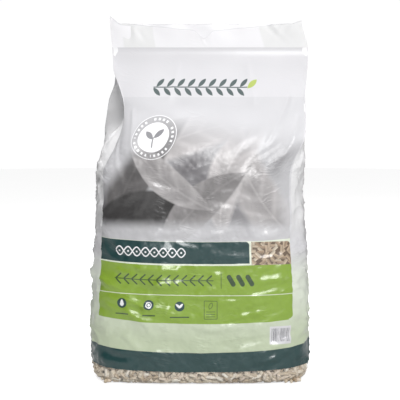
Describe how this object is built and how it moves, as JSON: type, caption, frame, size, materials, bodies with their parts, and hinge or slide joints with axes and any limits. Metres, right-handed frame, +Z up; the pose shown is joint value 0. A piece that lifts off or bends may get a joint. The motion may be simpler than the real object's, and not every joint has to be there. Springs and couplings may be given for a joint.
{
  "type": "cat litter bag",
  "caption": "Upright side-gusseted film bag of wood pellets with a printed front, a welded head under a loose flange and a clear strip along its foot.",
  "frame": {"origin": "middle of the bag's foot, on the surface it stands on", "axes": "+Z up to the head of the bag, -Y out of the printed front, +X to the right of someone who reads the front"},
  "size_m": [0.42, 0.1948, 0.69],
  "materials": {
    "printed_film": "satin",
    "pellet_wood": "matte"
  },
  "bodies": {
    "root": {"film_bag": "printed_film", "wood_pellets": "pellet_wood"}
  },
  "joints": []
}
